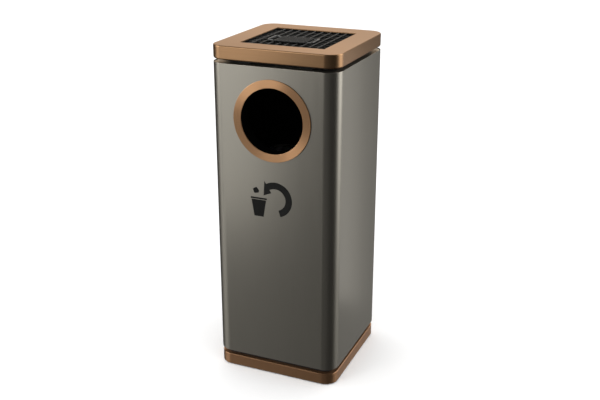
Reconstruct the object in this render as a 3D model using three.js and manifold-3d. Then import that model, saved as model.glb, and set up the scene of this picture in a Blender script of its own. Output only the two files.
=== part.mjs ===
// A square ashtray bin: a satin casing on a plinth, a round litter opening, a lift-off lid with an
// ash pan and a wire grid, and a lift-out liner with a bail.
// Millimetres, +Z up. The origin is on the ground at the centre of the footprint; -Y is the front.

import * as THREE from 'three';
import { mergeVertices } from 'three/addons/utils/BufferGeometryUtils.js';
import Module from 'manifold-3d';

const wasm = await Module();
wasm.setup();

// Driving dimensions
const SIDE = 250; // casing and lid, outside
const HEIGHT = 650;
const CORNER_R = 27; // outside radius of the upright corners
const SHEET = 1.2; // folded sheet of casing, floor, lid and frames
const GAP = 0.3; // clearance between pieces that touch
const CORNER_STEPS = 3; // the curveSegments of a corner's quarter turn, two facets each
const ROUND_STEPS = 40; // facets in a full turn of the litter opening
const SCREW_STEPS = 10; // facets in a full turn of a screw or its hole

// Heights of the stack, from the ground
const FOOT_H = 4.7;
const PLINTH_BOTTOM = 2;
const PLINTH_TOP = 24;
const CASING_BOTTOM = 33;
const CASING_TOP = 618.5;
const CAP_BOTTOM = 624.5;

// Footprint half-widths
const HALF = SIDE / 2;
const PLINTH_HALF = HALF - 1;
const PLINTH_WALL = 1.5;
const SPACER_HALF = HALF - 10; // the recessed board in the lower shadow gap
const SPACER_R = CORNER_R - 8;
const NECK_HALF = HALF - 17; // the recessed collar in the upper shadow gap
const NECK_R = 12;
const SHELL_INNER = HALF - SHEET;
const TRAY_HALF = SHELL_INNER - GAP; // floor tray and top frame, inside the shell
const THROUGH_HALF = 97; // the way through the top frame for the liner

// Litter opening in the front
const OPENING_Z = 521;
const RING_R = 76;
const THROAT_R = 61;
const RING_FACE = 1.7;
const RING_PROUD = 2;
const SPIGOT_OUTER_R = 64.6;
const SPIGOT_INNER_R = 63.2;
const SHELL_HOLE_R = 65.2;
const SLEEVE_DEPTH = 26;
const CLAMP_WALL = 2;
const RING_SCREW_CIRCLE = 70.5;
const RING_SCREW_R = 1.6;

// Lid
const CAP_EDGE_R = 2.5; // rounding of the cap's outer edges
const CAP_RETURN_HALF = NECK_HALF + 1.2; // inner edge of the cap's lower return
const GRID_OPENING_HALF = 82.5;
const LIP_WALL = 1.2;
const PAN_FRAME_Z = 638.5;
const PAN_LEDGE_HALF = 75;
const SKIRT_HALF = THROUGH_HALF - 1.5; // the collar's skirt inside the top frame
const SKIRT_BOTTOM = 598;
const COLLAR_PLATE_Z = 620;
const UPSTAND_TOP = HEIGHT - SHEET - GAP;
const BUMPER_H = 2.1;
const BUMPER_AT = 60; // along each front and back edge, from the middle

// Ash pan and grid
const PAN_HALF = GRID_OPENING_HALF - 0.6;
const PAN_BODY_HALF = 74;
const PAN_WALL = 1;
const PAN_BOTTOM = 598;
const PAN_RIM_Z = PAN_FRAME_Z + SHEET + GAP;
const PAN_RIM_TOP = HEIGHT - 1.5;
const GRID_PITCH = 16;
const GRID_WIRES = 9; // inner wires each way
const WIRE = 2.2;
const GRID_FRAME = 3.6;
const GRID_Z = PAN_RIM_Z + PAN_WALL + GAP;
const REST_Y = -25; // the stub rest sits towards the front of the grid
const REST_LENGTH = 62;
const REST_WIDTH = 44;
const REST_RIBS = 14;
const REST_RIB = 2.2;
const LOOP_WIRE_R = 1.2;
const LOOP_HALF = 18;
const LOOP_REACH = 11;

// Liner and bail
const LINER_HALF = 91;
const LINER_R = 18;
const LINER_WALL = 1;
const LINER_BOTTOM = 42;
const LINER_TOP = 405;
const RIM_HALF = 93.5;
const RIM_H = 5;
const PAD_H = 7.2;
const EAR_WIDTH = 26;
const EAR_WALL = 2;
const PIVOT_Z = 410;
const BAIL_HALF = 84;
const BAIL_REACH = 81;
const BAIL_WIRE_R = 2.5;
const BAIL_CORNER_R = 20;
const GRIP_LENGTH = 70;

// Fasteners
const BOLT_AT = 70; // base bolts, from the centre each way
const BOLT_R = 2.6;
const BOLT_HOLE_R = 3.1;
const FOOT_AT = 94;
const FOOT_R = 14;
const FOOT_SCREW_R = 1.8;
const FRAME_SCREW_R = 1.8;
const RIVET_R = 1.9;
const RIVET_SPREAD = 7; // either side of the ear's middle
const RIVET_Z = LINER_TOP - 14;
const HOLE_CLEARANCE = 0.5;

const CORNER_SIGNS = [[-1, -1], [1, -1], [1, 1], [-1, 1]];

// ---------------------------------------------------------------- materials

function material(color, roughness, metalness) {
  return new THREE.MeshStandardMaterial({ color, roughness, metalness });
}

const gunmetal = () => material(0x7d7a70, 0.42, 0.9);
const copper = () => material(0x9a7050, 0.4, 0.9);
const blackSteel = () => material(0x1c1b1a, 0.55, 0.4);
const galvanised = () => material(0x9a9c9c, 0.45, 0.8);
const zinc = () => material(0x8c8c88, 0.4, 0.9);
const rubber = () => material(0x141414, 0.85, 0);
const blackPlastic = () => material(0x161616, 0.5, 0);
const board = () => material(0x6b5238, 0.85, 0);

// ---------------------------------------------------------------- solids

/** A closed three.js geometry as a manifold-3d solid. */
function solid(geometry) {
  const bare = geometry.index ? geometry.toNonIndexed() : geometry.clone();
  bare.deleteAttribute('normal');
  bare.deleteAttribute('uv');
  const merged = mergeVertices(bare, 1e-4);
  const vertProperties = new Float32Array(merged.attributes.position.array);
  const triVerts = new Uint32Array(merged.index.array);
  return new wasm.Manifold(new wasm.Mesh({ numProp: 3, vertProperties, triVerts }));
}

/** A manifold-3d solid back as a three.js geometry. */
function geometryOf(body) {
  const { vertProperties, triVerts } = body.getMesh();
  const geometry = new THREE.BufferGeometry();
  geometry.setAttribute('position', new THREE.BufferAttribute(vertProperties, 3));
  geometry.setIndex(new THREE.BufferAttribute(triVerts, 1));
  geometry.computeVertexNormals();
  return geometry;
}

function joined(...bodies) {
  return bodies.reduce((whole, next) => whole.add(next));
}

function cut(body, ...tools) {
  return tools.reduce((rest, tool) => rest.subtract(tool), body);
}

/** A square outline with rounded corners, centred on the origin. */
function squareOutline(half, radius) {
  const outline = new THREE.Shape();
  if (radius <= 0) {
    outline.moveTo(-half, -half).lineTo(half, -half).lineTo(half, half).lineTo(-half, half).closePath();
    return outline;
  }
  const straight = half - radius;
  outline.moveTo(-straight, -half).lineTo(straight, -half);
  outline.absarc(straight, -straight, radius, -Math.PI / 2, 0);
  outline.absarc(straight, straight, radius, 0, Math.PI / 2);
  outline.absarc(-straight, straight, radius, Math.PI / 2, Math.PI);
  outline.absarc(-straight, -straight, radius, Math.PI, Math.PI * 1.5);
  return outline;
}

function extruded(outline, z0, z1) {
  const settings = { depth: z1 - z0, bevelEnabled: false, curveSegments: CORNER_STEPS };
  return new THREE.ExtrudeGeometry(outline, settings).translate(0, 0, z0);
}

/** An upright block with a rounded square footprint. */
function block(half, radius, z0, z1) {
  return solid(extruded(squareOutline(half, radius), z0, z1));
}

/** An upright square tube with rounded corners. */
function tube(half, radius, wall, z0, z1) {
  const inner = block(half - wall, Math.max(radius - wall, 0), z0 - 1, z1 + 1);
  return cut(block(half, radius, z0, z1), inner);
}

/** A rounded square block whose upper and lower edges are rounded too. */
function softBlock(half, radius, edge, z0, z1) {
  const settings = {
    depth: z1 - z0 - 2 * edge,
    bevelThickness: edge,
    bevelSize: edge,
    bevelOffset: -edge,
    bevelSegments: 3,
    curveSegments: CORNER_STEPS,
  };
  const geometry = new THREE.ExtrudeGeometry(squareOutline(half, radius), settings);
  return solid(geometry.translate(0, 0, z0 + edge));
}

function box(x0, x1, y0, y1, z0, z1) {
  const geometry = new THREE.BoxGeometry(x1 - x0, y1 - y0, z1 - z0);
  return solid(geometry.translate((x0 + x1) / 2, (y0 + y1) / 2, (z0 + z1) / 2));
}

/** A round bar along Z. */
function rod(radius, x, y, z0, z1, steps = SCREW_STEPS) {
  const geometry = new THREE.CylinderGeometry(radius, radius, z1 - z0, steps).rotateX(Math.PI / 2);
  return solid(geometry.translate(x, y, (z0 + z1) / 2));
}

/** A turned piece: its profile is [radius, height] points, closed on itself, about Z. */
function turned(profile, steps) {
  const points = [...profile, profile[0]].map(([r, z]) => new THREE.Vector2(r, z));
  return new THREE.LatheGeometry(points, steps).rotateX(Math.PI / 2);
}

/** A screw as a turned piece: its head is below z = 0 and its shank points up. */
function screwGeometry(headR, headH, shankR, shankL) {
  const profile = [
    [0, -headH],
    [headR * 0.7, -headH],
    [headR, 0],
    [shankR, 0],
    [shankR, shankL],
    [0, shankL],
  ];
  const points = profile.map(([r, z]) => new THREE.Vector2(r, z));
  return new THREE.LatheGeometry(points, SCREW_STEPS).rotateX(Math.PI / 2);
}

// ---------------------------------------------------------------- placing

const bin = new THREE.Group();

function place(name, shape, finish, position = [0, 0, 0], rotation = [0, 0, 0]) {
  const geometry = shape.isBufferGeometry ? shape : geometryOf(shape);
  const mesh = new THREE.Mesh(geometry, finish());
  mesh.name = name;
  mesh.position.set(...position);
  mesh.rotation.set(...rotation);
  bin.add(mesh);
}

// ---------------------------------------------------------------- base

function boltHoles(z0, z1) {
  return CORNER_SIGNS.map(([sx, sy]) => rod(BOLT_HOLE_R, sx * BOLT_AT, sy * BOLT_AT, z0, z1));
}

/** The skirt and top plate that the bin stands on, open below. */
function plinth() {
  const outer = block(PLINTH_HALF, CORNER_R - 1, PLINTH_BOTTOM, PLINTH_TOP);
  const underTop = PLINTH_TOP - PLINTH_WALL;
  const innerRadius = CORNER_R - 1 - PLINTH_WALL;
  const hollow = block(PLINTH_HALF - PLINTH_WALL, innerRadius, PLINTH_BOTTOM - 1, underTop);
  return cut(outer, hollow, ...boltHoles(PLINTH_BOTTOM, PLINTH_TOP + 1));
}

/** The board that fills the plinth; feet and base bolts fix into it. */
function baseBoard() {
  const top = PLINTH_TOP - PLINTH_WALL - GAP;
  const half = PLINTH_HALF - PLINTH_WALL - GAP;
  const slab = block(half, CORNER_R - 3, FOOT_H + GAP, top);
  const footHoles = CORNER_SIGNS.map(([sx, sy]) =>
    rod(FOOT_SCREW_R + HOLE_CLEARANCE, sx * FOOT_AT, sy * FOOT_AT, 0, top - 4));
  return cut(slab, ...boltHoles(0, top + 1), ...footHoles);
}

/** A rubber foot with a pocket below for the head of its screw. */
function footGeometry() {
  const bore = FOOT_SCREW_R + HOLE_CLEARANCE;
  const pocketR = 5.2;
  const pocketTop = 2.6;
  const chamfer = 1;
  return turned([
    [bore, pocketTop],
    [pocketR, pocketTop],
    [pocketR, 0],
    [FOOT_R - chamfer, 0],
    [FOOT_R, chamfer],
    [FOOT_R, FOOT_H],
    [bore, FOOT_H],
  ], 16);
}

/** The recessed board between plinth and casing. */
function spacerBoard() {
  const slab = block(SPACER_HALF, SPACER_R, PLINTH_TOP + GAP, CASING_BOTTOM - GAP);
  return cut(slab, ...boltHoles(PLINTH_TOP - 1, CASING_BOTTOM + 1));
}

/** The floor tray inside the lower edge of the shell. */
function casingFloor() {
  const flangeTop = CASING_BOTTOM + 16;
  const radius = CORNER_R - SHEET - GAP;
  const outer = block(TRAY_HALF, radius, CASING_BOTTOM, flangeTop);
  const hollow = block(TRAY_HALF - SHEET, radius - SHEET, CASING_BOTTOM + SHEET, flangeTop + 1);
  return cut(outer, hollow, ...boltHoles(CASING_BOTTOM - 1, CASING_BOTTOM + 4));
}

function buildBase() {
  place('plinth', plinth(), copper);
  place('base_board', baseBoard(), board);
  place('spacer_board', spacerBoard(), blackPlastic);
  place('casing_floor', casingFloor(), gunmetal);

  const footScrewHead = 1.5;
  const boltLength = 27;
  const floorTop = CASING_BOTTOM + SHEET + GAP;
  CORNER_SIGNS.forEach(([sx, sy], i) => {
    const footAt = [sx * FOOT_AT, sy * FOOT_AT];
    place(`foot_${i + 1}`, footGeometry(), rubber, [...footAt, 0]);
    const footScrew = screwGeometry(4.3, footScrewHead, FOOT_SCREW_R, 13);
    place(`foot_screw_${i + 1}`, footScrew, zinc, [...footAt, 2.3]);
    const bolt = screwGeometry(5.5, 3, BOLT_R, boltLength);
    place(`base_bolt_${i + 1}`, bolt, zinc, [sx * BOLT_AT, sy * BOLT_AT, floorTop], [Math.PI, 0, 0]);
  });

  const padLength = 150;
  const padWidth = 14;
  const padAt = 45;
  for (const [side, name] of [[-1, 'liner_pad_left'], [1, 'liner_pad_right']]) {
    const pad = box(-padWidth / 2, padWidth / 2, -padLength / 2, padLength / 2, 0, PAD_H);
    place(name, pad, rubber, [side * padAt, 0, floorTop]);
  }
}

// ---------------------------------------------------------------- casing

/** A round tool along Y through the front wall. */
function frontTool(radius, x, z, steps) {
  const depth = 20;
  const geometry = new THREE.CylinderGeometry(radius, radius, depth, steps);
  return solid(geometry.translate(x, -HALF, z));
}

/** Where the ring's screws sit, as [x, z]. */
function ringScrewPlaces() {
  return [45, 135, 225, 315].map((degrees) => {
    const angle = THREE.MathUtils.degToRad(degrees);
    return [Math.cos(angle) * RING_SCREW_CIRCLE, OPENING_Z + Math.sin(angle) * RING_SCREW_CIRCLE];
  });
}

function casingShell() {
  const sides = tube(HALF, CORNER_R, SHEET, CASING_BOTTOM, CASING_TOP);
  const screwHoles = ringScrewPlaces().map(([x, z]) =>
    frontTool(RING_SCREW_R + HOLE_CLEARANCE, x, z, SCREW_STEPS));
  return cut(sides, frontTool(SHELL_HOLE_R, 0, OPENING_Z, ROUND_STEPS), ...screwHoles);
}

/** The angle frame inside the top edge; the lid sits on its inward flange. */
function casingTopFrame() {
  const top = CASING_TOP - SHEET;
  const legBottom = top - 18;
  const radius = CORNER_R - SHEET - GAP;
  const leg = tube(TRAY_HALF, radius, SHEET, legBottom, top);
  const flange = tube(TRAY_HALF, radius, TRAY_HALF - THROUGH_HALF, top - SHEET, top);
  return joined(leg, flange);
}

/** The visible ring: a flat face on the sheet and a spigot through the hole. */
function openingRing() {
  const back = RING_PROUD - RING_FACE;
  const spigotEnd = -7;
  const soft = 0.6;
  return turned([
    [THROAT_R, back],
    [SPIGOT_INNER_R, back],
    [SPIGOT_INNER_R, spigotEnd],
    [SPIGOT_OUTER_R, spigotEnd],
    [SPIGOT_OUTER_R, back],
    [RING_R, back],
    [RING_R, RING_PROUD - soft],
    [RING_R - soft, RING_PROUD],
    [THROAT_R + soft, RING_PROUD],
    [THROAT_R, RING_PROUD - soft],
  ], ROUND_STEPS);
}

function throatSleeve() {
  const front = RING_PROUD - RING_FACE - GAP;
  const outerR = SPIGOT_INNER_R - GAP;
  return turned([
    [THROAT_R, -SLEEVE_DEPTH],
    [outerR, -SLEEVE_DEPTH],
    [outerR, front],
    [THROAT_R, front],
  ], ROUND_STEPS);
}

/** The flat ring that clamps the sheet from inside. */
function ringClamp() {
  const front = -SHEET - GAP;
  const back = front - CLAMP_WALL;
  const innerR = SHELL_HOLE_R + 0.1;
  const outerR = RING_R - 1;
  const flat = solid(turned([
    [innerR, back],
    [outerR, back],
    [outerR, front],
    [innerR, front],
  ], ROUND_STEPS));
  const holes = ringScrewPlaces().map(([x, z]) =>
    rod(RING_SCREW_R + HOLE_CLEARANCE, x, OPENING_Z - z, back - 1, front + 1));
  return cut(flat, ...holes);
}

function buildCasing() {
  place('casing_shell', casingShell(), gunmetal);
  place('casing_top_frame', casingTopFrame(), gunmetal);

  // Turned about Z, then laid over so that their +Z points out of the front.
  const centre = [0, -HALF, OPENING_Z];
  const facingFront = [Math.PI / 2, 0, 0];
  place('opening_ring', openingRing(), copper, centre, facingFront);
  place('throat_sleeve', throatSleeve(), blackPlastic, centre, facingFront);
  place('ring_clamp', ringClamp(), blackSteel, centre, facingFront);

  const clampBack = HALF - SHEET - GAP - CLAMP_WALL - GAP;
  ringScrewPlaces().forEach(([x, z], i) => {
    const screw = screwGeometry(3.1, 2.2, RING_SCREW_R, 3.5);
    place(`ring_screw_${i + 1}`, screw, zinc, [x, -clampBack, z], facingFront);
  });
}

// ---------------------------------------------------------------- lid

/** The folded cap: rounded outer edges, a return below, and a lip round the grid opening. */
function lidCap() {
  const outer = softBlock(HALF, CORNER_R, CAP_EDGE_R, CAP_BOTTOM, HEIGHT);
  const hollow = block(SHELL_INNER, CORNER_R - SHEET, CAP_BOTTOM + SHEET, HEIGHT - SHEET);
  const below = block(CAP_RETURN_HALF, NECK_R + 1, CAP_BOTTOM - 1, CAP_BOTTOM + SHEET + 1);
  const opening = block(GRID_OPENING_HALF, 0, HEIGHT - 2 * SHEET, HEIGHT + 1);
  const lipHalf = GRID_OPENING_HALF + LIP_WALL;
  const lip = tube(lipHalf, 0, LIP_WALL, PAN_RIM_Z, HEIGHT - SHEET / 2);
  return joined(cut(outer, hollow, below, opening), lip);
}

/** Round holes along X and along Y, at the middle of each side. */
function sideHoles(radius, z) {
  const length = SIDE;
  const alongY = new THREE.CylinderGeometry(radius, radius, length, SCREW_STEPS);
  const alongX = alongY.clone().rotateZ(Math.PI / 2);
  return [solid(alongX.translate(0, 0, z)), solid(alongY.translate(0, 0, z))];
}

const FRAME_SCREW_Z = PAN_FRAME_Z - 5;

/** The dark folded collar: an upstand in the shadow gap, a plate and a locating skirt. */
function lidCollar() {
  const upstand = tube(NECK_HALF, NECK_R, SHEET, COLLAR_PLATE_Z, UPSTAND_TOP);
  const plateTop = COLLAR_PLATE_Z + SHEET;
  const plate = tube(NECK_HALF, NECK_R, NECK_HALF - SKIRT_HALF + SHEET, COLLAR_PLATE_Z, plateTop);
  const skirtRadius = NECK_R - (NECK_HALF - SKIRT_HALF);
  const skirt = tube(SKIRT_HALF, skirtRadius, SHEET, SKIRT_BOTTOM, plateTop);
  const holes = sideHoles(FRAME_SCREW_R + HOLE_CLEARANCE, FRAME_SCREW_Z);
  return cut(joined(upstand, plate, skirt), ...holes);
}

/** The frame under the cap that carries the ash pan on its inner ledge. */
function panFrame() {
  const half = NECK_HALF - SHEET - GAP;
  const radius = NECK_R - SHEET - GAP;
  const top = PAN_FRAME_Z + SHEET;
  const plate = tube(half, radius, half - PAN_LEDGE_HALF, PAN_FRAME_Z, top);
  const flange = tube(half, radius, SHEET, PAN_FRAME_Z - 10, top);
  const holes = sideHoles(FRAME_SCREW_R + HOLE_CLEARANCE, FRAME_SCREW_Z);
  return cut(joined(plate, flange), ...holes);
}

function buildLid() {
  place('lid_cap', lidCap(), copper);
  place('lid_collar', lidCollar(), blackSteel);
  place('pan_frame', panFrame(), blackSteel);

  // One screw in the middle of each side, its head inside the frame.
  const headAt = NECK_HALF - 2 * SHEET - 2 * GAP;
  for (let i = 0; i < 4; i++) {
    const turn = i * Math.PI / 2;
    const screw = screwGeometry(3.2, 2, FRAME_SCREW_R, 4);
    screw.rotateY(Math.PI / 2).rotateZ(turn);
    const position = [Math.cos(turn) * headAt, Math.sin(turn) * headAt, FRAME_SCREW_Z];
    place(`frame_screw_${i + 1}`, screw, zinc, position);
  }

  const bumperAt = (NECK_HALF + THROUGH_HALF) / 2;
  CORNER_SIGNS.forEach(([sx, sy], i) => {
    const bumper = box(-12, 12, -4, 4, 0, BUMPER_H);
    const z = COLLAR_PLATE_Z - GAP - BUMPER_H;
    place(`lid_bumper_${i + 1}`, bumper, rubber, [sx * BUMPER_AT, sy * bumperAt, z]);
  });
}

// ---------------------------------------------------------------- ash pan and grid

function ashPan() {
  const walls = tube(PAN_BODY_HALF, 8, PAN_WALL, PAN_BOTTOM, PAN_RIM_Z + PAN_WALL);
  const floor = block(PAN_BODY_HALF, 8, PAN_BOTTOM, PAN_BOTTOM + PAN_WALL);
  const rimWidth = PAN_HALF - PAN_BODY_HALF + PAN_WALL;
  const rim = tube(PAN_HALF, 2, rimWidth, PAN_RIM_Z, PAN_RIM_Z + PAN_WALL);
  const edge = tube(PAN_HALF, 2, PAN_WALL, PAN_RIM_Z, PAN_RIM_TOP);
  return joined(walls, floor, rim, edge);
}

/** Crossed wires on a square frame; the upper wires bite into the lower ones. */
function ashGrid() {
  const half = PAN_HALF - PAN_WALL - 0.5;
  const frame = tube(half, 1.5, GRID_FRAME, GRID_Z, GRID_Z + GRID_FRAME);
  const reach = half - 1;
  const bite = 0.3;
  const lower = GRID_Z + GRID_FRAME - bite;
  const upper = lower + WIRE - bite;
  const wires = [];
  for (let i = 0; i < GRID_WIRES; i++) {
    const at = (i - (GRID_WIRES - 1) / 2) * GRID_PITCH;
    const [low, high] = [at - WIRE / 2, at + WIRE / 2];
    wires.push(box(low, high, -reach, reach, lower, lower + WIRE));
    wires.push(box(-reach, reach, low, high, upper, upper + WIRE));
  }
  return joined(frame, ...wires);
}

const GRID_TOP = GRID_Z + GRID_FRAME + 2 * WIRE - 0.6;

/** The ribbed pad that cigarettes are pressed out on. */
function stubRest() {
  const z = GRID_TOP + GAP;
  const plateH = 1.2;
  const ribTop = z + 2.5;
  const railTop = z + 3;
  const [halfL, halfW] = [REST_LENGTH / 2, REST_WIDTH / 2];
  const parts = [box(-halfL, halfL, -halfW, halfW, z, z + plateH)];
  for (const side of [-1, 1]) {
    const rail = side * (halfW - 1.5);
    parts.push(box(-halfL, halfL, rail - 1.5, rail + 1.5, z, railTop));
  }
  const pitch = (REST_LENGTH - REST_RIB) / (REST_RIBS - 1);
  for (let i = 0; i < REST_RIBS; i++) {
    const at = -halfL + REST_RIB / 2 + i * pitch;
    parts.push(box(at - REST_RIB / 2, at + REST_RIB / 2, -halfW + 1, halfW - 1, z, ribTop));
  }
  return joined(...parts).translate(0, REST_Y, 0);
}

/** A path of straight runs for bent wire, with one bend radius for each inner point. */
function bentPath(points, radii) {
  const path = new THREE.CurvePath();
  const corners = points.map((p) => new THREE.Vector3(...p));
  let from = corners[0];
  radii.forEach((radius, i) => {
    const corner = corners[i + 1];
    const back = corners[i].clone().sub(corner).setLength(radius).add(corner);
    const on = corners[i + 2].clone().sub(corner).setLength(radius).add(corner);
    path.add(new THREE.LineCurve3(from, back));
    path.add(new THREE.QuadraticBezierCurve3(back, corner, on));
    from = on;
  });
  path.add(new THREE.LineCurve3(from, corners[corners.length - 1]));
  return path;
}

function wireGeometry(path, radius, steps) {
  const section = new THREE.Shape().absarc(0, 0, radius, 0, Math.PI * 2);
  return new THREE.ExtrudeGeometry(section, { steps, curveSegments: 4, extrudePath: path });
}

/** A wire loop on the grid at one end of the stub rest. */
function gridLoop(side) {
  const z = GRID_TOP + GAP + LOOP_WIRE_R;
  const near = side * (REST_LENGTH / 2 + 2 * LOOP_WIRE_R);
  const far = near + side * LOOP_REACH;
  const lifted = z + LOOP_WIRE_R;
  const points = [
    [near, REST_Y - LOOP_HALF, z],
    [far, REST_Y - LOOP_HALF, lifted],
    [far, REST_Y + LOOP_HALF, lifted],
    [near, REST_Y + LOOP_HALF, z],
  ];
  return wireGeometry(bentPath(points, [4, 4]), LOOP_WIRE_R, 14);
}

function buildAshTop() {
  place('ash_pan', ashPan(), blackSteel);
  place('ash_grid', ashGrid(), blackSteel);
  place('stub_rest', stubRest(), blackSteel);
  place('grid_loop_left', gridLoop(-1), zinc);
  place('grid_loop_right', gridLoop(1), zinc);
}

// ---------------------------------------------------------------- liner

/** Round tools right across the bin for the rivets of both ears. */
function rivetTools(radius) {
  const length = SIDE;
  return [-RIVET_SPREAD, RIVET_SPREAD].map((y) => {
    const geometry = new THREE.CylinderGeometry(radius, radius, length, SCREW_STEPS);
    return solid(geometry.rotateZ(Math.PI / 2).translate(0, y, RIVET_Z));
  });
}

function linerBucket() {
  const rimBottom = LINER_TOP - RIM_H;
  const walls = tube(LINER_HALF, LINER_R, LINER_WALL, LINER_BOTTOM, LINER_TOP);
  const floor = block(LINER_HALF, LINER_R, LINER_BOTTOM, LINER_BOTTOM + LINER_WALL);
  const rimWall = RIM_HALF - LINER_HALF + LINER_WALL;
  const rim = tube(RIM_HALF, LINER_R + 2.5, rimWall, rimBottom, LINER_TOP);
  return cut(joined(walls, floor, rim), ...rivetTools(RIVET_R + 0.4));
}

/** An upright strip inside the liner wall with the bail's pivot hole above the rim. */
function handleEar(side) {
  const outer = LINER_HALF - LINER_WALL - GAP;
  const inner = outer - EAR_WALL;
  const half = EAR_WIDTH / 2;
  const [x0, x1] = side > 0 ? [inner, outer] : [-outer, -inner];
  const strip = box(x0, x1, -half, half, RIVET_Z - 8, PIVOT_Z + 8);
  const pivot = new THREE.CylinderGeometry(BAIL_WIRE_R + 0.5, BAIL_WIRE_R + 0.5, SIDE, 12);
  const hole = solid(pivot.rotateZ(Math.PI / 2).translate(0, 0, PIVOT_Z));
  return cut(strip, hole, ...rivetTools(RIVET_R + 0.4));
}

/** A rivet through ear and wall, its turned axis along Z. */
function rivetGeometry() {
  const grip = LINER_WALL + GAP + EAR_WALL + 2 * GAP;
  const headR = 3.6;
  const headH = 1.3;
  const profile = [
    [0, -headH],
    [headR * 0.7, -headH],
    [headR, 0],
    [RIVET_R, 0],
    [RIVET_R, grip],
    [headR, grip],
    [headR * 0.7, grip + headH],
    [0, grip + headH],
  ];
  const points = profile.map(([r, z]) => new THREE.Vector2(r, z));
  return new THREE.LatheGeometry(points, SCREW_STEPS).rotateX(Math.PI / 2);
}

/** The bail, folded down to the back at rest, its ends through the ears. */
function bailGeometry() {
  const end = LINER_HALF + 1;
  const points = [
    [-end, 0, PIVOT_Z],
    [-BAIL_HALF, 0, PIVOT_Z],
    [-BAIL_HALF, BAIL_REACH, PIVOT_Z],
    [BAIL_HALF, BAIL_REACH, PIVOT_Z],
    [BAIL_HALF, 0, PIVOT_Z],
    [end, 0, PIVOT_Z],
  ];
  const small = 4;
  const radii = [small, BAIL_CORNER_R, BAIL_CORNER_R, small];
  return wireGeometry(bentPath(points, radii), BAIL_WIRE_R, 56);
}

function gripGeometry() {
  const innerR = BAIL_WIRE_R + 0.4;
  const outerR = 6;
  const half = GRIP_LENGTH / 2;
  const soft = 1.5;
  return turned([
    [innerR, -half],
    [outerR - soft, -half],
    [outerR, -half + soft],
    [outerR, half - soft],
    [outerR - soft, half],
    [innerR, half],
  ], 14);
}

function buildLiner() {
  place('liner_bucket', linerBucket(), galvanised);
  let rivet = 0;
  for (const [side, name] of [[-1, 'handle_ear_left'], [1, 'handle_ear_right']]) {
    place(name, handleEar(side), zinc);
    const inner = LINER_HALF - LINER_WALL - 2 * GAP - EAR_WALL;
    for (const y of [-RIVET_SPREAD, RIVET_SPREAD]) {
      rivet += 1;
      const shape = rivetGeometry().rotateY(side * Math.PI / 2);
      place(`ear_rivet_${rivet}`, shape, zinc, [side * inner, y, RIVET_Z]);
    }
  }
  place('bail', bailGeometry(), zinc);
  place('bail_grip', gripGeometry(), blackPlastic, [0, BAIL_REACH, PIVOT_Z], [0, Math.PI / 2, 0]);
}

buildBase();
buildCasing();
buildLid();
buildAshTop();
buildLiner();

export default bin;
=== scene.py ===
"""A square ashtray bin in satin gunmetal and copper-coloured sheet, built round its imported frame.

Metres, +Z up, the front is -Y. Places come from the frame's own boxes. The few sizes that a box
can't give are named here or at the top of the function that uses them.
"""

import math

import bmesh
import bpy
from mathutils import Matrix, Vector


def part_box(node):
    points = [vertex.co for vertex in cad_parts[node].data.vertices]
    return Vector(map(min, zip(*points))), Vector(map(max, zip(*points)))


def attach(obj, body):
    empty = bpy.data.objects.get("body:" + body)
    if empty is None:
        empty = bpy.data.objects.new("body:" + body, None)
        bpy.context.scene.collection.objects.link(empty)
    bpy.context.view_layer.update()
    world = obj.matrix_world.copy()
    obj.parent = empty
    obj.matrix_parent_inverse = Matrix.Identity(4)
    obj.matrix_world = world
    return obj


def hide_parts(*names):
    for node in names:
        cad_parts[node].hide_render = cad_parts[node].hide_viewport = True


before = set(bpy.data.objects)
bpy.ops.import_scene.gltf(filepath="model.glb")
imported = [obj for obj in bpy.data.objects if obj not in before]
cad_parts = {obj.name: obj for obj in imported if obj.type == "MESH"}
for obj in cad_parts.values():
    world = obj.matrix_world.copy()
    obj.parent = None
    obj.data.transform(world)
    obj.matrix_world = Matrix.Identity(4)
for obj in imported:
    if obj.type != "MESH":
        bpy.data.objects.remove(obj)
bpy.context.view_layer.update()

MM = 0.001

# The frame's own sizes
SHELL_LOW, SHELL_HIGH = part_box("casing_shell")
CAP_LOW, CAP_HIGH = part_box("lid_cap")
PLINTH_LOW, PLINTH_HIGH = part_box("plinth")
RING_LOW, RING_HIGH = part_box("opening_ring")
HALF = SHELL_HIGH.x
CORNER_R = 27 * MM  # outside radius of the upright corners
SHEET = 1.2 * MM  # casing, lid and frames
GAP = 0.3 * MM  # clearance between pieces that touch
THROAT_R = 61 * MM  # the clear round opening
PAN_RIM_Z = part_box("pan_frame")[1].z + GAP
OPENING_Z = (RING_LOW.z + RING_HIGH.z) / 2
FRONT_Y = SHELL_LOW.y
INK_THICKNESS = 0.12 * MM

# Camera: where it stands and where it looks. Its distance is level, from the bin's axis.
CAMERA_AZIMUTH = 23.26
CAMERA_DISTANCE = 1.6647
CAMERA_HEIGHT = 0.9616
VIEW_AZIMUTH = 23.22
VIEW_ELEVATION = 20.85
LENS_MM = 53.9

# The surround: white to the eye and to matt surfaces, mostly dark in reflections
SEEN_SURROUND = 1.35
REFLECTED_SURROUND = 0.012

# Soft bright areas of the surround that only reflections meet: azimuth and elevation of the
# middle, angular radius, strength as a colour. Azimuth 0 is the front, 90 the right, in degrees.
REFLECTED_AREAS = (
    (-60, 15, 28, (4.3, 4.3, 4.3)),
    (-60, -25, 38, (0.37, 0.37, 0.37)),
    (0, -25, 38, (0.05, 0.05, 0.05)),
    (120, 12, 38, (2.6, 2.6, 2.6)),
    (120, -25, 38, (0.16, 0.16, 0.16)),
    (175, -25, 28, (0.2, 0.2, 0.2)),
    (180, 50, 38, (1.56, 1.56, 1.56)),
    (-150, 12, 38, (0.71, 0.57, 0.43)),
)

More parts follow.
